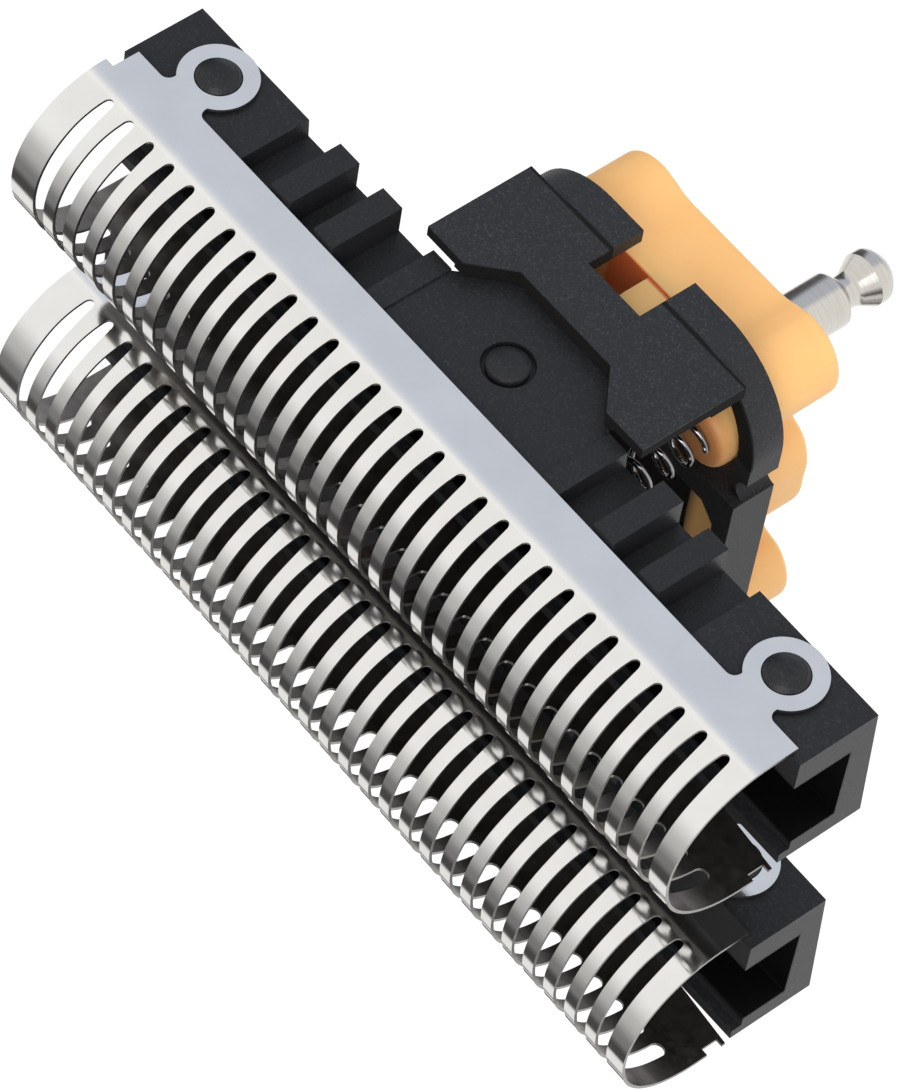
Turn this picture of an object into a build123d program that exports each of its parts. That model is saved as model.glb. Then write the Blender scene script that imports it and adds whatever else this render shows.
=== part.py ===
from build123d import *

import os
from math import cos, pi, sin

# Twin-bar cutter block of a foil shaver: two slotted blades on sprung carriers, guided by a
# bridge and driven by one pin. Z runs along the pin with the cutting crowns up, X runs along
# the bars, and +Y is the side with the blade lugs. The origin is on the pin's axis, just below the
# coupling's face.

# Blades, stamped and rolled from thin steel strip
blade_length = 36.0
sheet = 0.25
arch_radius = 3.95
arch_flats = 10
arch_reach = 0.4
flange_height = 1.15
free_flange_height = 1.6
end_band = 1.15
slot_pitch = 1.16
slot_width = 0.6
slot_tip = 0.26
slot_start = 2.05
slot_taper = 1.7
free_slot_start = 2.1
lug_inset = 2.5
lug_drop = 1.63
lug_radius = 1.5
lug_hole = 0.88
lug_neck = 1.8
lug_round = 0.3
end_nick = 0.3
end_nick_height = 0.7
end_nick_start = 0.55

# Carriers, moulded channels that hold the blades
bar_pitch = 11.7
carrier_overhang = 0.45
carrier_width = 6.2
carrier_floor = 0.95
floor_slope = 0.45
front_wall = 1.45
front_wall_height = 3.5
rear_wall = 0.95
rear_wall_height = 2.9
rear_lip = 0.5
rear_lip_height = 3.35
lug_height = 1.6
peg_clearance = 0.04
peg_stand = 0.12
peg_round = 0.1
end_block = 6.15
rib_width = 1.08
rib_pitch = 2.4
rib_stand = 0.45
rib_clearance = 0.13
rib_recess = 0.95
rib_margin = 0.5
first_rib = 2.35
ledge = 1.0
plate_half = 4.3
plate_sink = 0.1
plate_thickness = 0.8
plate_reach = 1.8
plate_foot_half = 2.6
boss_height = 0.95
boss_radius = 0.8
boss_groove = 0.2
boss_groove_depth = 0.3

# Bridge, the moulded saddle that guides both carriers
guide_gap = 0.15
bridge_wall = 0.65
lip_wall = 0.5
lip_height = 3.2
lip_gap = 0.1
pad_half = 5.85
cutout_depth = 1.4
cutout_foot_half = 2.45
cutout_mouth_half = 3.9
rim_half_length = 6.9
rim_height = 1.45
rim_corner = 3.8
rim_wall = 0.75
web_half_width = 3.9
web_height = 1.9
web_window_gap = 0.15
end_groove = 0.5
notch_half = 1.4
notch_height = 2.55

# Coupling, the elastic block between the drive pin and the bridge
coupling_height = 3.35
lobe_x = 4.15
lobe_y = 6.3
lobe_radius = 1.8
front_waist = 0.4
waist_half = 3.5
waist_round = 0.7
hub_half_length = 5.5
hub_half_width = 2.4
hub_corner = 1.5
knob_half_length = 5.95
knob_half_width = 2.6
knob_bevel = 0.7
knob_sink = 0.9
seat_stand = 0.6
seat_radius = 1.4
tab_half = 1.1
tab_height = 2.3
tab_depth = 1.2
tab_slope = 0.7

# Springs, wound from steel wire
spring_x = 4.6
spring_radius = 0.75
spring_wire = 0.25
spring_length = 4.2
spring_turns = 4.75
flats_per_turn = 8
spring_gap = 0.02
pocket_clearance = 0.15

# Drive pin, turned steel
pin_radius = 1.1
tail_radius = 0.6
pin_fit = 0.02
shoulder = 0.3
shoulder_gap = 0.05
pin_socket = 2.6
shank_length = 6.15
neck_radius = 0.66
neck_slope = 0.3
neck_length = 0.45
cone_length = 0.8
head_length = 0.5
head_bevel = 0.35

# Heights from the origin, from the coupling up to the crowns
coupling_base = shoulder + shoulder_gap
rim_top = coupling_height + rim_height
seat_top = rim_top + seat_stand
carrier_base = seat_top + spring_length
lug_z = carrier_base + lug_height
flange_edge = lug_z + lug_drop
arch_base = flange_edge + flange_height
crown = arch_base + arch_radius
free_edge = arch_base - free_flange_height
lip_top = carrier_base - lip_gap

# Places along the bars and across them
blade_end = blade_length / 2
lug_x = blade_end - lug_inset
slot_count = 1 + int((blade_length - 2 * end_band) // slot_pitch)
carrier_half = blade_end + carrier_overhang
block_start = carrier_half - end_block
ledge_half = plate_half + ledge
rib_room = block_start - ledge_half - first_rib - rib_width / 2 - rib_margin
rib_places = [ledge_half + first_rib + rib_pitch * k for k in range(1 + int(rib_room // rib_pitch))]
plate_face = (bar_pitch + carrier_width) / 2 - plate_sink
pad_face = plate_face + guide_gap + bridge_wall
pocket_size = 2 * (spring_radius + pocket_clearance) + spring_wire
core_front = lobe_y + lobe_radius - front_waist
bar_places = {"front": bar_pitch / 2, "rear": -bar_pitch / 2}
spring_places = {"left": -spring_x, "right": spring_x}
outer_sides = (1, -1)
touch = 0.001

os.makedirs("parts", exist_ok=True)


def strip_side(middle, radius):
    """One side of the U-bent strip: up the lug flange, over the arch in flats, down the free flange."""
    turns = [pi * step / arch_flats for step in range(arch_flats + 1)]
    arch = [(middle + radius * cos(turn), arch_base + radius * sin(turn)) for turn in turns]
    return [(middle + radius, flange_edge), *arch, (middle - radius, free_edge)]


# Blades: the U section runs along X, the lugs hang from the +Y flange over the carrier's pegs,
# and the slots leave lamellae that carry the cutting edges.
for bar, bar_y in bar_places.items():
    lug_face = bar_y + carrier_width / 2
    blade_middle = lug_face + sheet - arch_radius
    free_face = blade_middle - arch_radius
    lug_slot = flange_edge + slot_start
    free_slot = free_edge + free_slot_start
    over_crown = crown + sheet
    with BuildPart() as blade:
        with BuildSketch(Plane.YZ.offset(-blade_end - arch_reach)):
            with BuildLine():
                Polyline(
                    *strip_side(blade_middle, arch_radius),
                    *reversed(strip_side(blade_middle, arch_radius - sheet)),
                    close=True,
                )
            make_face()
        extrude(amount=blade_length + arch_reach)
        with BuildSketch(Plane.XZ.offset(-lug_face)):
            with Locations((-blade_end, flange_edge)):
                Rectangle(arch_reach, flange_height, align=(Align.MAX, Align.MIN))
        extrude(amount=-sheet, mode=Mode.SUBTRACT)
        with BuildSketch(Plane.XZ.offset(-free_face)):
            with Locations((blade_end, free_edge + end_nick_start)):
                Rectangle(2 * end_nick, end_nick_height, align=(Align.CENTER, Align.MIN))
        extrude(amount=-sheet, mode=Mode.SUBTRACT)
        with BuildSketch(Plane.XZ.offset(-lug_face)):
            with Locations((-lug_x, lug_z), (lug_x, lug_z)):
                Circle(lug_radius)
                Rectangle(lug_neck, lug_drop + flange_height, align=(Align.CENTER, Align.MIN))
                Circle(lug_hole, mode=Mode.SUBTRACT)
        extrude(amount=-sheet)
        lug_roots = [
            edge
            for edge in blade.edges().filter_by(Axis.Y)
            if abs(edge.center().Z - flange_edge) < touch
            and abs(abs(edge.center().X + lug_neck / 2) - lug_x) < touch
        ]
        fillet(lug_roots, radius=lug_round)
        with BuildSketch(Plane.XZ.offset(-blade_middle)):
            with GridLocations(slot_pitch, 0, slot_count, 1):
                Polygon(
                    (-slot_tip / 2, lug_slot),
                    (slot_tip / 2, lug_slot),
                    (slot_width / 2, lug_slot + slot_taper),
                    (slot_width / 2, over_crown),
                    (-slot_width / 2, over_crown),
                    (-slot_width / 2, lug_slot + slot_taper),
                    align=None,
                )
        extrude(amount=-(arch_radius + sheet), mode=Mode.SUBTRACT)
        with BuildSketch(Plane(origin=(0, blade_middle, free_slot), x_dir=(1, 0, 0), z_dir=(0, -1, 0))):
            with GridLocations(slot_pitch, 0, slot_count, 1):
                Rectangle(slot_width, over_crown - free_slot, align=(Align.CENTER, Align.MIN))
        extrude(amount=arch_radius + sheet, mode=Mode.SUBTRACT)
    blade.part.label = f"{bar}_blade"
    export_step(blade.part, f"parts/{bar}_blade.step")

# Carriers: a channel open to the crown and at both ends, with pegs for the blade lugs, ribs on
# the lug side, spring pockets below, and on the outer side a sunk plate that reaches down behind
# the bridge's wall.
for (bar, bar_y), outward in zip(bar_places.items(), outer_sides):
    lug_face = bar_y + carrier_width / 2
    back_face = bar_y - carrier_width / 2
    plate_y = outward * plate_face
    peg_face = lug_face + sheet + peg_stand
    with BuildPart() as carrier:
        with BuildSketch(Plane.YZ):
            with BuildLine():
                Polyline(
                    (lug_face, carrier_base),
                    (lug_face, carrier_base + front_wall_height),
                    (lug_face - front_wall, carrier_base + front_wall_height),
                    (lug_face - front_wall, carrier_base + carrier_floor),
                    (back_face + rear_wall, carrier_base + carrier_floor),
                    (back_face + rear_wall, carrier_base + rear_wall_height),
                    (back_face + rear_lip, carrier_base + rear_wall_height),
                    (back_face + rear_lip, carrier_base + rear_lip_height),
                    (back_face, carrier_base + rear_lip_height),
                    (back_face, carrier_base - floor_slope),
                    close=True,
                )
            make_face()
        extrude(amount=carrier_half, both=True)
        with BuildSketch(Plane.XZ.offset(-lug_face)):
            for end in (-1, 1):
                with Locations((end * (ledge_half + block_start) / 2, carrier_base - floor_slope)):
                    Rectangle(
                        block_start - ledge_half,
                        front_wall_height + floor_slope,
                        align=(Align.CENTER, Align.MIN),
                    )
        extrude(amount=rib_recess, mode=Mode.SUBTRACT)
        with BuildSketch(Plane.XZ.offset(-(lug_face - rib_recess))):
            for end in (-1, 1):
                with Locations(*[(end * place, carrier_base) for place in rib_places]):
                    Rectangle(
                        rib_width,
                        flange_edge - carrier_base - rib_clearance,
                        align=(Align.CENTER, Align.MIN),
                    )
        extrude(amount=-(rib_recess + rib_stand))
        with BuildSketch(Plane.XZ.offset(-plate_y)):
            with Locations((0, carrier_base - floor_slope)):
                Rectangle(
                    2 * plate_half,
                    front_wall_height + floor_slope,
                    align=(Align.CENTER, Align.MIN),
                )
        extrude(amount=-outward * plate_sink, mode=Mode.SUBTRACT)
        with BuildSketch(Plane.XZ.offset(-plate_y)):
            Polygon(
                (-plate_half, carrier_base + carrier_floor),
                (-plate_half, carrier_base),
                (-plate_foot_half, carrier_base - plate_reach),
                (plate_foot_half, carrier_base - plate_reach),
                (plate_half, carrier_base),
                (plate_half, carrier_base + carrier_floor),
                align=None,
            )
        extrude(amount=outward * plate_thickness)
        with BuildSketch(Plane.XZ.offset(-plate_y)):
            with Locations((0, carrier_base + boss_height)):
                Circle(boss_radius + boss_groove)
                Circle(boss_radius, mode=Mode.SUBTRACT)
        extrude(amount=outward * boss_groove_depth, mode=Mode.SUBTRACT)
        with BuildSketch(Plane.XY.offset(carrier_base)):
            with Locations(*[(end_x, bar_y) for end_x in spring_places.values()]):
                Rectangle(pocket_size, pocket_size)
        extrude(amount=-floor_slope, mode=Mode.SUBTRACT)
        with BuildSketch(Plane.XZ.offset(-lug_face)):
            with Locations((-lug_x, lug_z), (lug_x, lug_z)):
                Circle(lug_hole - peg_clearance)
        extrude(amount=-(sheet + peg_stand))
        peg_rims = [
            rim
            for rim in carrier.edges().filter_by(GeomType.CIRCLE)
            if abs(rim.center().Y - peg_face) < touch
        ]
        chamfer(peg_rims, length=peg_round)
    carrier.part.label = f"{bar}_carrier"
    export_step(carrier.part, f"parts/{bar}_carrier.step")

# Bridge: a flat rounded rim with a cross web, windows for the coupling, and on each long side a
# grained wall whose thin lips and cut-out guide the carrier's plate.
with BuildPart() as bridge:
    with BuildSketch(Plane.XY.offset(coupling_height)):
        RectangleRounded(2 * rim_half_length, 2 * pad_face, rim_corner)
    extrude(amount=rim_height)
    with BuildSketch(Plane.XY.offset(coupling_height)):
        RectangleRounded(
            2 * (rim_half_length - rim_wall),
            2 * (pad_face - bridge_wall),
            rim_corner - rim_wall,
        )
    extrude(amount=rim_height, mode=Mode.SUBTRACT)
    with BuildSketch(Plane.XY.offset(coupling_height)):
        Rectangle(2 * rim_half_length, 2 * web_half_width)
    extrude(amount=web_height)
    with BuildSketch(Plane.XY.offset(coupling_height)) as web_window:
        Rectangle(2 * (knob_half_length + web_window_gap), 2 * (knob_half_width + web_window_gap))
        chamfer(web_window.vertices(), length=knob_bevel)
    extrude(amount=web_height, mode=Mode.SUBTRACT)
    with BuildSketch(Plane.XY.offset(coupling_height)):
        with GridLocations(2 * rim_half_length, 2 * (web_half_width + end_groove), 2, 2):
            Circle(end_groove)
    extrude(amount=rim_height, mode=Mode.SUBTRACT)
    for outward in outer_sides:
        with BuildSketch(Plane.XZ.offset(-outward * pad_face)):
            with Locations((0, rim_top)):
                Rectangle(2 * pad_half, lip_top - rim_top, align=(Align.CENTER, Align.MIN))
        extrude(amount=outward * bridge_wall)
        with BuildSketch(Plane.XZ.offset(-outward * (pad_face - bridge_wall))):
            with Locations((0, lip_top)):
                Rectangle(2 * pad_half, lip_height, align=(Align.CENTER, Align.MAX))
                Rectangle(2 * plate_half, lip_height, align=(Align.CENTER, Align.MAX), mode=Mode.SUBTRACT)
        extrude(amount=-outward * (bridge_wall - lip_wall), mode=Mode.SUBTRACT)
        with BuildSketch(Plane.XZ.offset(-outward * pad_face)):
            Polygon(
                (-cutout_foot_half, lip_top - cutout_depth),
                (cutout_foot_half, lip_top - cutout_depth),
                (cutout_mouth_half, lip_top),
                (-cutout_mouth_half, lip_top),
                align=None,
            )
            with Locations((0, coupling_height)):
                Rectangle(2 * notch_half, notch_height, align=(Align.CENTER, Align.MIN))
        extrude(amount=outward * bridge_wall, mode=Mode.SUBTRACT)
bridge.part.label = "bridge"
export_step(bridge.part, "parts/bridge.step")

# Coupling: an elastic block with a lobe under each spring seat, a middle hub round the pin whose
# knob fills the web's window, and a ramped tab behind the bridge's notch on each long side.
with BuildPart() as coupling:
    with BuildSketch(Plane.XY.offset(coupling_base)):
        Rectangle(2 * waist_half, 2 * lobe_y)
        for outward in outer_sides:
            with Locations((0, outward * (lobe_y + core_front) / 2)):
                Rectangle(2 * lobe_x, core_front - lobe_y)
        with GridLocations(2 * lobe_x, 2 * lobe_y, 2, 2):
            Circle(lobe_radius)
        RectangleRounded(2 * hub_half_length, 2 * hub_half_width, hub_corner)
    extrude(amount=coupling_height - coupling_base)
    waist_edges = [
        edge for edge in coupling.edges().filter_by(Axis.Z) if abs(abs(edge.center().X) - waist_half) < touch
    ]
    fillet(waist_edges, radius=waist_round)
    with BuildSketch(Plane.XY.offset(coupling_height)):
        with GridLocations(2 * spring_x, bar_pitch, 2, 2):
            Circle(seat_radius)
    extrude(amount=seat_top - coupling_height)
    with BuildSketch(Plane.XY.offset(coupling_height)) as knob:
        Rectangle(2 * knob_half_length, 2 * knob_half_width)
        chamfer(knob.vertices(), length=knob_bevel)
    extrude(amount=web_height - knob_sink)
    for outward in outer_sides:
        tab_front = outward * core_front
        tab_back = tab_front - outward * tab_depth
        with BuildSketch(Plane.YZ):
            Polygon(
                (tab_front, coupling_height),
                (tab_front, coupling_height + tab_height - tab_slope),
                (tab_back, coupling_height + tab_height),
                (tab_back, coupling_height),
                align=None,
            )
        extrude(amount=tab_half, both=True)
    with BuildSketch():
        Circle(tail_radius + pin_fit)
    extrude(amount=pin_socket, mode=Mode.SUBTRACT)
coupling.part.label = "coupling"
export_step(coupling.part, "parts/coupling.step")

# Drive pin: a turned shank whose thinner tail is held in the coupling, with a waist and a head for
# the shaver's driving arm.
neck_top = -shank_length - neck_slope
neck_foot = neck_top - neck_length
head_top = neck_foot - cone_length
head_foot = head_top - head_length
with BuildPart() as drive_pin:
    with BuildSketch(Plane.XZ):
        with BuildLine():
            Polyline(
                (0, pin_socket),
                (tail_radius, pin_socket),
                (tail_radius, shoulder),
                (pin_radius, shoulder),
                (pin_radius, -shank_length),
                (neck_radius, neck_top),
                (neck_radius, neck_foot),
                (pin_radius, head_top),
                (pin_radius, head_foot),
                (pin_radius - head_bevel, head_foot - head_bevel),
                (0, head_foot - head_bevel),
                close=True,
            )
        make_face()
    revolve(axis=Axis.Z)
drive_pin.part.label = "drive_pin"
export_step(drive_pin.part, "parts/drive_pin.step")

# Springs: one under each end of each carrier, standing on the coupling's seats. The coil is laid
# in straight flats.
coil_height = spring_length - spring_wire - 2 * spring_gap
coil_flats = round(spring_turns * flats_per_turn)
for bar, bar_y in bar_places.items():
    for end, end_x in spring_places.items():
        coil_points = [
            (
                end_x + spring_radius * cos(2 * pi * flat / flats_per_turn),
                bar_y + spring_radius * sin(2 * pi * flat / flats_per_turn),
                seat_top + spring_gap + spring_wire / 2 + coil_height * flat / coil_flats,
            )
            for flat in range(coil_flats + 1)
        ]
        with BuildPart() as spring:
            with BuildLine() as coil:
                Polyline(*coil_points)
            with BuildSketch(Plane(origin=coil.line @ 0, x_dir=(1, 0, 0), z_dir=coil.line % 0)):
                Rectangle(spring_wire, spring_wire)
            sweep(path=coil.line, transition=Transition.RIGHT, normal=(0, 0, 1))
        spring.part.label = f"{bar}_{end}_spring"
        export_step(spring.part, f"parts/{bar}_{end}_spring.step")
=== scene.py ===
from math import pi, radians

import bmesh
import bpy
import numpy as np
from mathutils import Matrix


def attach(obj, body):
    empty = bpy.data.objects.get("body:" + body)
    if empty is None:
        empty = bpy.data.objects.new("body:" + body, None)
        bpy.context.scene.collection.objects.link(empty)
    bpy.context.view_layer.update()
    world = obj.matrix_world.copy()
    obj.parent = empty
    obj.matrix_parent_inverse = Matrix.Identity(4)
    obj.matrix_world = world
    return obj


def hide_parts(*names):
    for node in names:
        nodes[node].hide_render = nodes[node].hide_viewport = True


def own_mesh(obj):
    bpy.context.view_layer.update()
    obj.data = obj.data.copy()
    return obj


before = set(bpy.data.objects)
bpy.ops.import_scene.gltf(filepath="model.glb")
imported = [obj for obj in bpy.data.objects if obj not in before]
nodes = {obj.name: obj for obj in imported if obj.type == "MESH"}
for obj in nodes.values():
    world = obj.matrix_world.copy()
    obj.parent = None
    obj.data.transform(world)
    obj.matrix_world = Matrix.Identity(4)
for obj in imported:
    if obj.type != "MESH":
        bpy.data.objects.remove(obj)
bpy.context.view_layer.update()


# Drive pin: turned and polished steel, set into the coupling. Its waist and head are what the
# shaver's driving arm snaps over.
mm = 0.001
merge_reach = 0.001 * mm
sharp_angle = radians(35.0)
pin_radius = 1.1
waist_radius = 0.66
pin_top = 0.45
pin_end = -8.55


class Value:
    """One output socket in a material. Sums written with it add Math nodes, and add() adds any node."""

    def __init__(self, tree, socket):
        self.tree = tree
        self.socket = socket

    def add(self, kind, settings, inputs, output=0):
        """A node of that kind: its settings first, then the value or the link of each input socket."""
        node = self.tree.nodes.new(kind)
        for name, setting in settings.items():
            setattr(node, name, setting)
        for name, given in inputs.items():
            if isinstance(given, Value):
                self.tree.links.new(given.socket, node.inputs[name])
            else:
                node.inputs[name].default_value = given
        return Value(self.tree, node.outputs[output])

    def math(self, operation, *terms):
        """The result of one Math node on these terms."""
        return self.add("ShaderNodeMath", {"operation": operation}, dict(enumerate(terms)))

    def __add__(self, other):
        return self.math("ADD", self, other)

    def __sub__(self, other):
        return self.math("SUBTRACT", self, other)

    def __rsub__(self, other):
        return self.math("SUBTRACT", other, self)

    def __mul__(self, other):
        return self.math("MULTIPLY", self, other)

    __radd__ = __add__
    __rmul__ = __mul__

    def axis(self, number):
        """One coordinate of a place: 0 is x, 1 is y and 2 is z."""
        return self.add("ShaderNodeSeparateXYZ", {}, {"Vector": self}, output=number)

    def ease(self, low, high):
        """0 at low and 1 at high, eased between and level beyond."""
        ends = {"Value": self, "From Min": low, "From Max": high}
        return self.add("ShaderNodeMapRange", {"interpolation_type": "SMOOTHSTEP"}, ends)

    def noise(self, size, detail=2.0, drawn=(1.0, 1.0, 1.0)):
        """Soft noise with lumps about size mm across, drawn out that many times along each axis."""
        fine = tuple(1.0 / (size * draw) for draw in drawn)
        at = self.add("ShaderNodeMapping", {}, {"Vector": self, "Scale": fine})
        return self.add("ShaderNodeTexNoise", {}, {"Vector": at, "Scale": 1.0, "Detail": detail})

    def mix(self, low, high):
        """A colour that goes from low to high with this value."""
        return self.add("ShaderNodeMix", {"data_type": "RGBA"}, {0: self, 6: low, 7: high}, output=2)

    def bump(self, height):
        """A surface normal for this relief, height mm from its lows to its highs."""
        return self.add("ShaderNodeBump", {}, {"Height": self, "Distance": height * mm, "Strength": 1.0})

    def feed(self, shader, socket):
        """Drives one of the shader's sockets with this value."""
        self.tree.links.new(self.socket, shader.inputs[socket])


def new_finish(name, **fixed):
    """A material with these fixed values on its shader; gives it, the shader and the place in mm."""
    finish = bpy.data.materials.new(name)
    finish.use_nodes = True
    shader = finish.node_tree.nodes["Principled BSDF"]
    for socket, setting in fixed.items():
        shader.inputs[socket.replace("_", " ")].default_value = setting
    spot = finish.node_tree.nodes.new("ShaderNodeTexCoord")
    at = Value(finish.node_tree, spot.outputs["Object"])
    return finish, shader, at.add("ShaderNodeMapping", {}, {"Vector": at, "Scale": (1 / mm,) * 3})


def grid(points, around=False):
    """Quads over a grid of points, rows by columns; around joins the last column to the first."""
    rows, columns = points.shape[:2]
    index = np.arange(rows * columns).reshape(rows, columns)
    if around:
        index = np.hstack([index, index[:, :1]])
    corners = index[:-1, :-1], index[:-1, 1:], index[1:, 1:], index[1:, :-1]
    return points.reshape(-1, 3), np.stack(corners, -1).reshape(-1, 4)


def soften(corners, reach, steps=7):
    """A profile whose inner corners are parabolas that start and end reach mm away along each side."""
    corners = np.asarray(corners, float)
    sides = np.diff(corners, axis=0)
    sides /= np.linalg.norm(sides, axis=1, keepdims=True)
    along = np.linspace(0, 1, steps)[None, :, None]
    reach = np.broadcast_to(reach, len(corners) - 2)[:, None, None]
    pull = sides[1:, None] * along**2 - sides[:-1, None] * (1 - along) ** 2
    bends = corners[1:-1, None] + reach * pull
    return np.vstack([corners[:1], bends.reshape(-1, 2), corners[-1:]])


def turned(profile, centre=(0.0, 0.0), around=72):
    """A profile of radius and height swept a full turn about an upright axis through centre."""
    turn = np.linspace(0, 2 * pi, around, endpoint=False)
    radius, height = profile[:, :1], profile[:, 1:]
    x = centre[0] + radius * np.cos(turn)
    y = centre[1] + radius * np.sin(turn)
    return grid(np.stack([x, y, np.broadcast_to(height, x.shape)], -1), around=True)


def new_piece(name, shells, finish, body, replaced=None, outward=True):
    """A piece from shells of points in mm and quads: doubles merged, smooth up to the sharp angle."""
    starts = np.cumsum([0] + [len(points) for points, quads in shells])
    points = np.vstack([points for points, quads in shells]) * mm
    quads = np.vstack([quads + start for (_, quads), start in zip(shells, starts)])
    mesh = bpy.data.meshes.new(name)
    mesh.from_pydata(points, [], quads)
    shape = bmesh.new()
    shape.from_mesh(mesh)
    bmesh.ops.remove_doubles(shape, verts=shape.verts, dist=merge_reach)
    if outward:
        bmesh.ops.recalc_face_normals(shape, faces=shape.faces)
    shape.to_mesh(mesh)
    shape.free()
    mesh.shade_smooth()
    mesh.set_sharp_from_angle(angle=sharp_angle)
    mesh.materials.append(finish)
    piece = bpy.data.objects.new(name, mesh)
    bpy.context.scene.collection.objects.link(piece)
    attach(piece, body)
    if replaced:
        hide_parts(replaced)
    return piece


pin_finish, pin_shader, pin_place = new_finish("turned_steel", Metallic=1.0)
tool_marks = pin_place.noise(0.05, drawn=(40.0, 40.0, 1.0))
tool_marks.mix((0.54, 0.515, 0.475, 1), (0.7, 0.675, 0.635, 1)).feed(pin_shader, "Base Color")
(0.13 + 0.1 * tool_marks).feed(pin_shader, "Roughness")
tool_marks.bump(0.0015).feed(pin_shader, "Normal")
pin_corners = [
    (0.0, pin_top), (pin_radius, pin_top), (pin_radius, -6.15), (waist_radius, -6.45),
    (waist_radius, -6.9), (pin_radius, -7.7), (pin_radius, -8.2), (0.75, pin_end), (0.0, pin_end),
]
pin_shell = turned(soften(pin_corners, reach=(0.05, 0.1, 0.12, 0.2, 0.03, 0.15, 0.12)))
new_piece("drive_pin_turned", [pin_shell], pin_finish, "drive_block", "drive_pin")


# Coupling: a pale orange elastic moulding that takes the pin's swing to the bridge. It has a lobe
# under each spring, a round seat for each coil, knobs in the web and a tab on each long side.
coupling_foot = -0.15
coupling_top = 3.35
rooted_at = 3.0
block_spine_half = 5.5
knob_x = 4.9
knob_half = (1.05, 2.6)
knob_squareness = 0.6
knob_spine_half = 1.8
knob_top = 4.35
spring_x = 4.6
spring_y = 5.85
seat_height = 5.4
seat_radius = 1.4
tab_back = 6.4
tab_front = 7.62
tab_top = 5.6
tab_lip = 4.9

rubber, rubber_shader, rubber_place = new_finish(
    "orange_elastomer", Subsurface_Weight=0.25, Subsurface_Scale=mm, Roughness=0.5
)
rubber_shader.inputs["Subsurface Radius"].default_value = (2.4, 0.8, 0.25)
cloud = rubber_place.noise(1.8, detail=3.0)
clean = cloud.mix((0.97, 0.51, 0.175, 1), (0.985, 0.57, 0.225, 1))
# Painted shade: the floor between the knobs is near black, and the block is a darker red beside its tabs
# and under the coils.
aside, across, above = (rubber_place.math("ABSOLUTE", rubber_place.axis(k)) for k in range(3))
window_shade = aside.ease(4.7, 3.8) * across.ease(3.1, 2.9) * above.ease(3.0, 3.2)
top_face = above.ease(3.25, 3.33) * above.ease(3.5, 3.4)
tab_side_shade = aside.ease(3.0, 2.6) * across.ease(4.6, 5.0) * top_face
coil_shade = 0.5 * aside.ease(2.6, 3.0) * across.ease(4.0, 4.4) * above.ease(4.7, 5.4)
with_tab_shade = tab_side_shade.mix(clean, (0.85, 0.2, 0.05, 1))
with_coil_shade = coil_shade.mix(with_tab_shade, (0.5, 0.1, 0.03, 1))
window_shade.mix(with_coil_shade, (0.012, 0.009, 0.008, 1)).feed(rubber_shader, "Base Color")
rubber_place.noise(0.12).bump(0.004).feed(rubber_shader, "Normal")


def closed_curve(knots, steps=8):
    """A smooth closed line through the knots: a cubic between each two, whose slope at a knot is half
    the step from the knot before it to the knot after it."""
    before, start, end, after = (np.roll(knots, shift, axis=0)[:, None] for shift in (1, 0, -1, -2))
    along = np.linspace(0, 1, steps, endpoint=False)[None, :, None]
    bend = 2 * before - 5 * start + 4 * end - after
    swing = 3 * (start - end) + after - before
    return (start + 0.5 * along * (end - before + along * (bend + along * swing))).reshape(-1, 2)


def spine(outline, half):
    """The straight line along y, half mm each way, that an outline shrinks to: x goes, y is limited."""
    return np.clip(outline, (0.0, -half), (0.0, half))


def moulded(outline, middle, foot, top, foot_round, top_round, steps=8):
    """A closed moulding on an outline: upright sides, quarter-round edges, flats drawn in to its middle."""
    forward = np.roll(outline, -1, axis=0) - np.roll(outline, 1, axis=0)
    inward = np.stack([-forward[:, 1], forward[:, 0]], -1)
    inward /= np.linalg.norm(forward, axis=1, keepdims=True)
    turn = np.linspace(0, pi / 2, steps)
    insets = np.concatenate([foot_round * (1 - np.sin(turn)), top_round * (1 - np.cos(turn))])
    low_rises = foot_round * (1 - np.cos(turn))
    high_rises = top - foot - top_round * (1 - np.sin(turn))
    flats = np.concatenate([middle[None], outline + insets[:, None, None] * inward, middle[None]])
    heights = foot + np.concatenate([[0.0], low_rises, high_rises, [top - foot]])
    return grid(np.dstack([flats, np.broadcast_to(heights[:, None], flats.shape[:2])]), around=True)


quarter = np.array([
    (5.5, 0.0), (5.48, 1.0), (5.05, 1.95), (4.2, 2.5), (3.68, 3.1), (3.72, 3.9), (4.3, 4.52),
    (5.1, 4.78), (5.7, 5.4), (5.95, 6.3), (5.7, 7.2), (5.05, 7.86), (4.15, 8.1), (3.4, 7.95),
    (2.6, 7.72), (1.2, 7.7),
])
half_line = np.vstack([quarter, (quarter * (-1, 1))[:0:-1]])
block_line = closed_curve(np.vstack([half_line, -half_line]))
block_middle = spine(block_line, block_spine_half)
block_shell = moulded(
    block_line, block_middle, coupling_foot, coupling_top, foot_round=0.25, top_round=0.05
)

# A knob's outline is an ellipse squared off: the cosine and sine of the turn to a power below 1.
knob_turn = np.linspace(0, 2 * pi, 120, endpoint=False)
knob_side = np.stack([np.cos(knob_turn), np.sin(knob_turn)], -1)
knob_line = np.sign(knob_side) * np.abs(knob_side) ** knob_squareness * knob_half
knob_middle = spine(knob_line, knob_spine_half)
knob_shells = [
    moulded(
        knob_line + (x, 0.0), knob_middle + (x, 0.0), rooted_at, knob_top, foot_round=0.05, top_round=0.45
    )
    for x in (-knob_x, knob_x)
]
seat_line = soften(
    [(0.0, seat_height), (seat_radius, seat_height), (seat_radius, rooted_at)], reach=0.4
)
seat_shells = [
    turned(seat_line, centre=(x, y), around=48)
    for x in (-spring_x, spring_x)
    for y in (-spring_y, spring_y)
]
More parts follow.
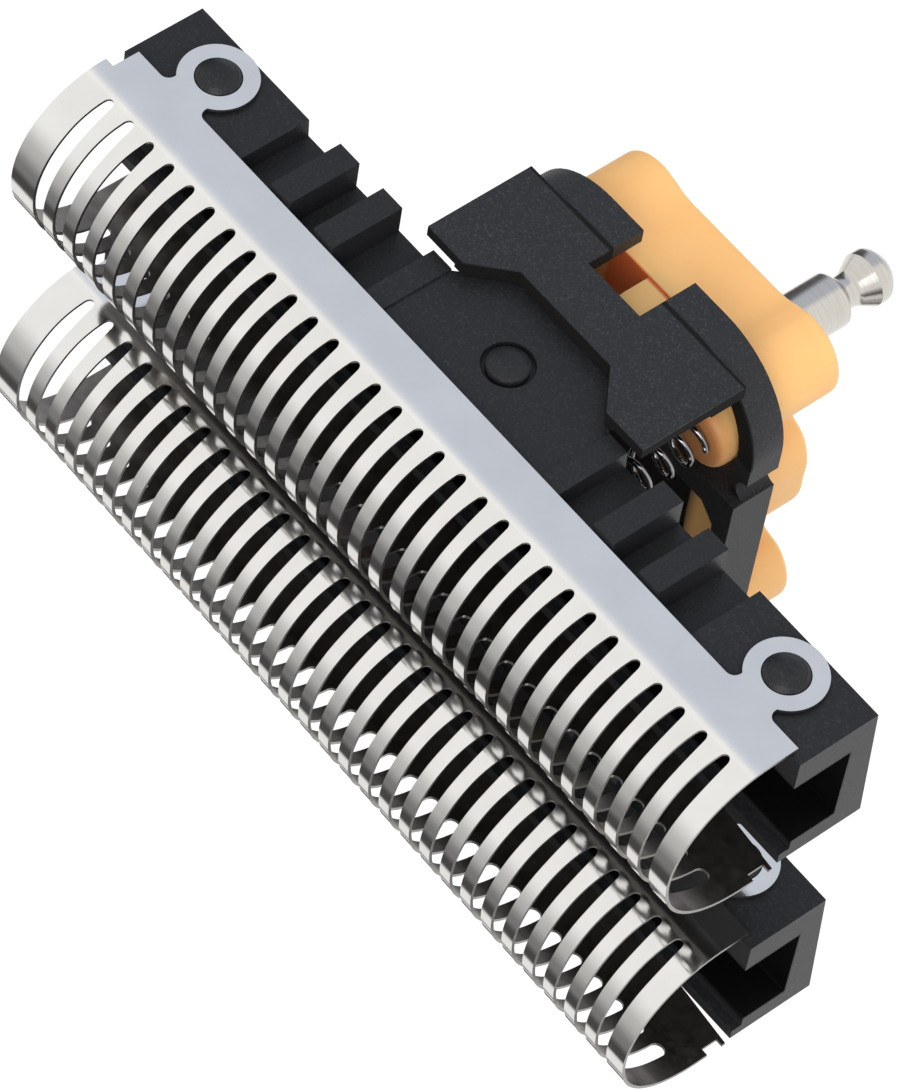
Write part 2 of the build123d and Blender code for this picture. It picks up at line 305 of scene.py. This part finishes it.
# A tab is a sloped profile carried along x, with both ends drawn in to its middle to close them.
tab_line = soften(
    [(tab_back, rooted_at), (tab_back, tab_top), (tab_front, tab_lip), (tab_front, rooted_at)],
    reach=(0.3, 0.45),
)
tab_x = np.array([-0.75, -0.75, 0.2, 1.05, 1.05])
tab_shrink = np.array([0.0, 1.0, 1.0, 1.0, 0.0])
tab_middle = tab_line.mean(axis=0)
tab_flat = tab_middle + tab_shrink[:, None, None] * (tab_line - tab_middle)
tab_points = np.dstack([np.broadcast_to(tab_x[:, None], tab_flat.shape[:2]), tab_flat])
tab_shells = [grid(tab_points * (1, side, 1), around=True) for side in (1, -1)]
new_piece(
    "coupling_block", [block_shell, *knob_shells, *seat_shells, *tab_shells], rubber, "drive_block",
    "coupling",
)


# Bridge: black moulded saddle that guides both carriers. Its outer walls are spark-grained, and its
# rim lies on the coupling. The fold above the rim and the edges of the walls are painted dark as shade.
bridge_finish, bridge_shader, bridge_place = new_finish("grained_black", Specular_IOR_Level=0.3)
sparks = bridge_place.noise(0.08, detail=4.0)
flecks = sparks.ease(0.5, 0.78)
grained = flecks.mix((0.016, 0.0168, 0.0195, 1), (0.052, 0.054, 0.06, 1))
out_from_middle = bridge_place.math("ABSOLUTE", bridge_place.axis(1))
height = bridge_place.axis(2)
# Painted shade: near black along the fold above the rim and on the edges of the walls.
fold = height.ease(4.68, 4.76) * height.ease(4.96, 4.88) * out_from_middle.ease(5.5, 6.0)
wall_edge = out_from_middle.ease(9.62, 9.57) * out_from_middle.ease(8.6, 8.9) * height.ease(4.8, 4.9)
painted_unlit_parts = fold.math("MAXIMUM", fold, wall_edge)
painted_unlit_parts.mix(grained, (0.002, 0.002, 0.002, 1)).feed(bridge_shader, "Base Color")
(0.34 + 0.26 * sparks + 0.4 * painted_unlit_parts).feed(bridge_shader, "Roughness")
sparks.bump(0.04).feed(bridge_shader, "Normal")


def dress(node, finish, edge):
    """Gives a moulded node its finish and round edges, edge mm wide."""
    node.data.materials.clear()
    node.data.materials.append(finish)
    weld = node.modifiers.new("weld", "WELD")
    weld.merge_threshold = merge_reach
    flats = node.modifiers.new("flats", "DECIMATE")
    flats.decimate_type = "DISSOLVE"
    flats.angle_limit = radians(1.0)
    edges = node.modifiers.new("edges", "BEVEL")
    edges.width = edge * mm
    edges.segments = 3
    edges.limit_method = "ANGLE"
    edges.angle_limit = sharp_angle
    edges.harden_normals = True


dress(nodes["bridge"], bridge_finish, edge=0.08)


# Springs: drawn steel wire, wound to close coils at both ends. One stands on each seat of the
# coupling and pushes up under a carrier.
spring_length = 4.2
coil_radius = 0.75
wire_radius = 0.125
turns = 4.75
end_ease = 0.24
clearance = 0.02

wire_finish, wire_shader, wire_place = new_finish("drawn_wire", Metallic=1.0)
# The wire is coloured darker than bright steel: painted shade for coils that sit under the bridge.
draw_lines = wire_place.noise(0.06)
draw_lines.mix((0.22, 0.22, 0.23, 1), (0.36, 0.36, 0.37, 1)).feed(wire_shader, "Base Color")
(0.08 + 0.1 * draw_lines).feed(wire_shader, "Roughness")


def coil(centre):
    """A round wire along a helix whose rise is eased at both ends, so that the end coils lie close."""
    along = np.linspace(0, 1, 320)
    turn = 2 * pi * turns * along
    rise = along - end_ease * np.sin(2 * pi * along) / (2 * pi)
    span = spring_length - 2 * wire_radius - 2 * clearance
    line = np.stack([coil_radius * np.cos(turn), coil_radius * np.sin(turn), rise * span], -1)
    line += (*centre, seat_height + wire_radius + clearance)
    out = np.stack([np.cos(turn), np.sin(turn), np.zeros_like(turn)], -1)
    lean = np.cross(np.gradient(line, axis=0), out)
    lean /= np.linalg.norm(lean, axis=1, keepdims=True)
    round_wire = np.linspace(0, 2 * pi, 14, endpoint=False)[None, :, None]
    thick = np.full(len(along), wire_radius)
    thick[[0, -1]] = 0.0
    skin = out[:, None] * np.cos(round_wire) + lean[:, None] * np.sin(round_wire)
    return grid(line[:, None] + thick[:, None, None] * skin, around=True)


for bar, y in (("front", spring_y), ("rear", -spring_y)):
    for end, x in (("left", -spring_x), ("right", spring_x)):
        name = f"{bar}_{end}_spring"
        spring = new_piece(
            f"{name}_coil", [coil((x, y))], wire_finish, "drive_block", name
        )
        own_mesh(spring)


# Carriers: satin black mouldings, one under each blade. Pegs hold the blade's lugs, ribs stiffen
# the lug side and a sunk plate runs behind the bridge's wall. Their hollow under the blade has painted
# shade.
bar_pitch = 2 * spring_y
hollow_y = 5.6
lug_x = 15.5
lug_z = 11.2
boss_z = 10.55


def across_bar(place, middle_y):
    """How far a place lies across its bar: y from the front bar's middle, wrapped at each bar pitch."""
    wrapped = place.math("FLOORED_MODULO", place.axis(1) + (1.5 * bar_pitch - middle_y), bar_pitch)
    return wrapped - 0.5 * bar_pitch


carrier_finish, carrier_shader, carrier_place = new_finish("satin_black", Specular_IOR_Level=0.24)
mould = carrier_place.noise(0.1, detail=3.0)
open_face = mould.ease(0.5, 0.8).mix((0.0155, 0.0162, 0.0185, 1), (0.032, 0.033, 0.036, 1))
inside_y = across_bar(carrier_place, hollow_y)
# Painted shade: the hollow under the blade is coloured near black.
hollow_shade = inside_y.math("ABSOLUTE", inside_y).ease(2.1, 1.95) * carrier_place.axis(2).ease(10.4, 10.5)
hollow_shade.mix(open_face, (0.002, 0.002, 0.002, 1)).feed(carrier_shader, "Base Color")
(0.32 + 0.16 * mould).feed(carrier_shader, "Roughness")
mould.bump(0.012).feed(carrier_shader, "Normal")
peg_line = soften(
    [(0.0, -0.2), (0.84, -0.2), (0.84, 0.05), (0.5, 0.36), (0.0, 0.36)], reach=(0.02, 0.2, 0.4)
)
boss_line = soften(
    [(0.0, -0.2), (0.8, -0.2), (0.8, 0.02), (0.45, 0.22), (0.0, 0.22)], reach=(0.02, 0.15, 0.35)
)
for bar, peg_y, boss_y, outward in (("front", 9.2, 8.85, 1), ("rear", -2.5, -8.85, -1)):
    dress(nodes[f"{bar}_carrier"], carrier_finish, edge=0.07)
    heads = []
    for line, place, side in (
        (peg_line, (-lug_x, peg_y, lug_z), 1),
        (peg_line, (lug_x, peg_y, lug_z), 1),
        (boss_line, (0.0, boss_y, boss_z), outward),
    ):
        points, quads = turned(line, around=48)
        heads.append((points[:, [0, 2, 1]] * (1, side, 1) + place, quads))
    new_piece(f"{bar}_peg_heads", heads, carrier_finish, f"{bar}_bar")


# Blades: thin steel strip, slotted in the flat, rolled to a U and hung on the carrier by two ring
# lugs. The slots leave lamellae, polished over the arch and the lug flange; the free side is rougher
# and painted dark as shade.
blade_y = 5.25
blade_end = 18.0
arch_left_end = 18.4
notch_end = 17.7
sheet = 0.13
arch_radius = 3.95
arch_base = 13.98
flange = 1.15
free_flange = 1.85
slots = 30
slot_pitch = 1.16
slot_half = 0.3
lug_tip = 0.9
free_tip = 0.5
lug_taper = 1.95
free_taper = 0.3
tip_round = 0.12
tip_share = 0.6
fine_rows = 0.8 * lug_taper
row_step = 0.001
corner_lift = 0.4
lift_from = 13.5
lug_radius = 1.5
lug_hole = 0.88
lug_drop = 1.63
neck_half = 0.9
neck_round = 0.35
neck_steps = 13
arch_end = flange + pi * arch_radius
strip = arch_end + free_flange
slot_first = flange + arch_radius * np.arcsin(lug_tip / arch_radius)
slot_last = arch_end - arch_radius * np.arcsin(free_tip / arch_radius)
notch_rows = strip - np.array([1.251, 1.249, 0.551, 0.549])

steel, steel_shader, steel_place = new_finish("slotted_steel", Metallic=1.0)
streaks = steel_place.noise(0.09, detail=3.0, drawn=(25.0, 1.0, 1.0))
mottle = steel_place.noise(1.6, detail=3.0)
polished = mottle.mix((0.75, 0.74, 0.725, 1), (0.86, 0.85, 0.83, 1))
# Painted shade: the free side of both blades is coloured dark, and it is also made rougher.
dull_and_shaded = across_bar(steel_place, blade_y).ease(-2.3, -3.0)
dull_and_shaded.mix(polished, (0.16, 0.155, 0.15, 1)).feed(steel_shader, "Base Color")
(0.05 + 0.08 * streaks + 0.2 * dull_and_shaded).feed(steel_shader, "Roughness")
streaks.bump(0.001).feed(steel_shader, "Normal")
# The inner face is painted dark as shade, with tone that differs at random, and it is rougher than the
# outer face.
inside, inside_shader, inside_place = new_finish("unpolished_inside", Metallic=1.0)
inside_shade_tone = inside_place.noise(0.5, detail=3.0)
inside_shade_tone.mix((0.1, 0.09, 0.08, 1), (0.3, 0.27, 0.24, 1)).feed(inside_shader, "Base Color")
(0.25 + 0.2 * inside_place.noise(0.3)).feed(inside_shader, "Roughness")
cut, cut_shader, cut_place = new_finish("sheared_edge", Metallic=1.0)
tearing = cut_place.noise(0.2, detail=3.0)
tearing.mix((0.22, 0.21, 0.2, 1), (0.42, 0.4, 0.38, 1)).feed(cut_shader, "Base Color")
(0.25 + 0.2 * cut_place.noise(0.1)).feed(cut_shader, "Roughness")


def half_width(along):
    """Half a slot's width at that length along the strip: a small round tip, then a widening taper."""
    into = np.clip((along - slot_first) / lug_taper, 0, 1)
    left = np.clip((slot_last - along) / free_taper, 0, 1)
    tip = np.sqrt(1 - (1 - np.clip(into / tip_round, 0, 1)) ** 2)
    widening = tip_share * tip + (1 - tip_share) * into * (2 - into)
    return slot_half * np.minimum(widening, np.sqrt(1 - (1 - left) ** 2))


def strip_line(along):
    """Across and up on the strip's outer face: up the lug flange, over the arch, down the free one."""
    turn = np.clip((along - flange) / arch_radius, 0, pi)
    across = arch_radius * np.cos(turn)
    up = arch_base + arch_radius * np.sin(turn)
    return across, up + np.minimum(along - flange, 0) - np.maximum(along - arch_end, 0)


# The strip is a grid of rows along its bent length, cut into lamellae by the slots of each row. The
# rows crowd where a slot is round, and the last one rises at the right end of the free flange.
ease_in = 1 - np.cos(np.linspace(0, pi / 2, 16))
along = np.concatenate([
    [0.0, flange - row_step, flange],
    np.linspace(flange, slot_first, 8)[1:],
    slot_first + fine_rows * ease_in[1:],
    np.linspace(slot_first + fine_rows, slot_last - free_taper, 48)[1:],
    slot_last - free_taper * ease_in[-2::-1],
    np.linspace(slot_last, arch_end, 5)[1:],
    notch_rows,
    [strip],
])
left_end = np.interp(along, [flange - row_step, flange], [-blade_end, -arch_left_end])
right_end = np.interp(along, notch_rows, [blade_end, notch_end, notch_end, blade_end])
slot_x = slot_pitch * (np.arange(slots) - (slots - 1) / 2)
opening = half_width(along)[:, None]
starts = np.hstack([left_end[:, None], slot_x + opening])
ends = np.hstack([slot_x - opening, right_end[:, None]])
share = np.linspace(0, 1, 3)
strip_x = starts[..., None] + share * (ends - starts)[..., None]
strip_y, strip_z = strip_line(along)
last_row = np.where(along > strip - 10 * row_step, corner_lift, 0.0)[:, None, None]
lift = last_row * np.clip((strip_x - lift_from) / (blade_end - lift_from), 0, 1)

# A lug is a flat ring, circles from the hole to the rim, and a neck, the rim's top carried up to the
# flange and flared by a quarter-round where it meets it.
neck_turn = np.arcsin(neck_half / lug_radius)
ring_turn = np.concatenate([
    np.linspace(-neck_turn, neck_turn, neck_steps),
    np.linspace(neck_turn, 2 * pi - neck_turn, 49)[1:-1],
])
ring_out = np.linspace(lug_hole, lug_radius, 4)[:, None]
neck_up = np.sin(np.linspace(0, pi / 2, 10))[:, None]
neck_x = lug_radius * np.sin(ring_turn[:neck_steps])
neck_z = lug_radius * np.cos(ring_turn[:neck_steps])
fillet_up = np.clip((neck_z[0] + neck_up * (lug_drop - neck_z[0]) - lug_drop) / neck_round + 1, 0, 1)
flare = 1 + neck_round / neck_half * (1 - np.sqrt(1 - fillet_up**2))
lug_flats = [
    (ring_out * np.sin(ring_turn), ring_out * np.cos(ring_turn), True),
    (neck_x * flare, neck_z + neck_up * (lug_drop - neck_z), False),
]


def sheet_grid(x, y, z, around=False):
    """A grid from its three coordinates, each spread over the rows and columns that it lacks."""
    return grid(np.stack(np.broadcast_arrays(x, y, z), -1)[:, ::-1], around)


for bar, bar_y in (("front", blade_y), ("rear", blade_y - bar_pitch)):
    lamellae = [
        sheet_grid(strip_x[:, k], bar_y + strip_y[:, None], strip_z[:, None] + lift[:, k])
        for k in range(slots + 1)
    ]
    lugs = [
        sheet_grid(x + flat_x, bar_y + arch_radius, lug_z + flat_z, around)
        for x in (-lug_x, lug_x)
        for flat_x, flat_z, around in lug_flats
    ]
    blade = new_piece(
        f"{bar}_blade_strip", lamellae + lugs, steel, f"{bar}_bar", f"{bar}_blade",
        outward=False,
    )
    wall = blade.modifiers.new("wall", "SOLIDIFY")
    wall.thickness = sheet * mm
    wall.offset = -1.0
    wall.material_offset = 1
    wall.material_offset_rim = 2
    blade.data.materials.append(inside)
    blade.data.materials.append(cut)
    wall_edges = blade.modifiers.new("wall_edges", "EDGE_SPLIT")
    wall_edges.split_angle = radians(40.0)


# Stage: a pale floor too far below to take a shadow, graded and with dark ends for the steel to
# mirror, a sky of soft bands, one soft box at the right, and the camera at the photo's angle.
floor_level = -150.0
floor_half = 3000.0
focal_pixels = 6599.6
photo_height = 1092

floor_finish, floor_shader, floor_place = new_finish(
    "pale_floor", Roughness=0.9, Base_Color=(0.02, 0.02, 0.02, 1), Emission_Strength=1.0
)
# The floor glows: its emission colour is the light it gives, graded to one side, with a dark card at the
# left and a dark far end painted on it for the steel to mirror.
across_floor, depth = floor_place.axis(0), floor_place.axis(1)
shaded = across_floor.ease(-30.0, 60.0).mix((0.6, 0.645, 0.74, 1), (1.0, 1.0, 0.98, 1))
faded = depth.ease(420.0, 1700.0).mix(shaded, (0.97, 0.965, 0.95, 1))
bright = depth.ease(60.0, -140.0).mix(faded, (1.05, 1.05, 1.05, 1))
dark_card = across_floor.ease(-195.0, -230.0) * depth.ease(310.0, 260.0) * depth.ease(-150.0, -110.0)
with_card = dark_card.mix(bright, (0.05, 0.05, 0.05, 1))
depth.ease(-560.0, -900.0).mix(with_card, (0.12, 0.12, 0.13, 1)).feed(floor_shader, "Emission Color")
floor_line = np.linspace(-floor_half, floor_half, 3)
floor_x, floor_y = np.meshgrid(floor_line, floor_line)
floor_points, floor_quads = grid(np.dstack([floor_x, floor_y, np.full_like(floor_x, floor_level)]))
floor_mesh = bpy.data.meshes.new("floor")
floor_mesh.from_pydata(floor_points * mm, [], floor_quads)
floor_mesh.materials.append(floor_finish)
floor = bpy.data.objects.new("floor", floor_mesh)
bpy.context.scene.collection.objects.link(floor)

# The sky's glow changes in steps of the angle about x, from 0 degrees at +y over the top to -y.
sky_steps = ((66, 100, -0.45), (98, 124, -0.33), (128, 140, -0.15), (150, 157, 0.85), (172, 180, -0.87))
world = bpy.data.worlds.new("studio")
world.use_nodes = True
sky = world.node_tree.nodes["Background"]
direction = world.node_tree.nodes.new("ShaderNodeTexCoord")
toward = Value(world.node_tree, direction.outputs["Generated"])
about_x = toward.math("ARCTAN2", toward.axis(2), toward.axis(1))
glow = 1.0
for step_start, step_end, change in sky_steps:
    glow = glow + change * about_x.ease(radians(step_start), radians(step_end))
glow.mix((0.0, 0.0, 0.0, 1), (1.0, 0.99, 0.975, 1)).feed(sky, "Color")
sky.inputs["Strength"].default_value = 1.0
bpy.context.scene.world = world
bpy.context.scene.view_settings.view_transform = "Standard"


def place_matrix(right, upward, back, place):
    """The matrix that sets an object at place, in mm, with those three directions as its axes."""
    matrix = np.eye(4)
    matrix[:3, :3] = np.stack([right, upward, back], -1)
    matrix[:3, 3] = np.array(place) * mm
    return Matrix(matrix.tolist())


def soft_box(name, place, target, size, power):
    """A square area light at place, turned to face target, both in mm."""
    lamp = bpy.data.lights.new(name, "AREA")
    lamp.size = size * mm
    lamp.energy = power
    light = bpy.data.objects.new(name, lamp)
    back = np.array(place, float) - target
    back /= np.linalg.norm(back)
    side = np.cross((0.0, 0.0, 1.0), back)
    side /= np.linalg.norm(side)
    light.matrix_world = place_matrix(side, np.cross(back, side), back, place)
    bpy.context.scene.collection.objects.link(light)


soft_box("key", place=(170, 190, 240), target=(0, 0, 8), size=200, power=0.5)

camera_data = bpy.data.cameras.new("photo_angle")
camera_data.sensor_fit = "VERTICAL"
camera_data.sensor_height = 24.0
camera_data.lens = focal_pixels / photo_height * camera_data.sensor_height
camera_data.clip_start = 0.01
camera_data.clip_end = 20.0
camera = bpy.data.objects.new("photo_angle", camera_data)
camera.matrix_world = place_matrix(
    right=(0.6273, 0.1029, -0.7720),
    upward=(-0.6724, 0.5716, -0.4702),
    back=(0.3929, 0.8141, 0.4277),
    place=(92.33, 190.33, 112.41),
)
bpy.context.scene.collection.objects.link(camera)
bpy.context.scene.camera = camera
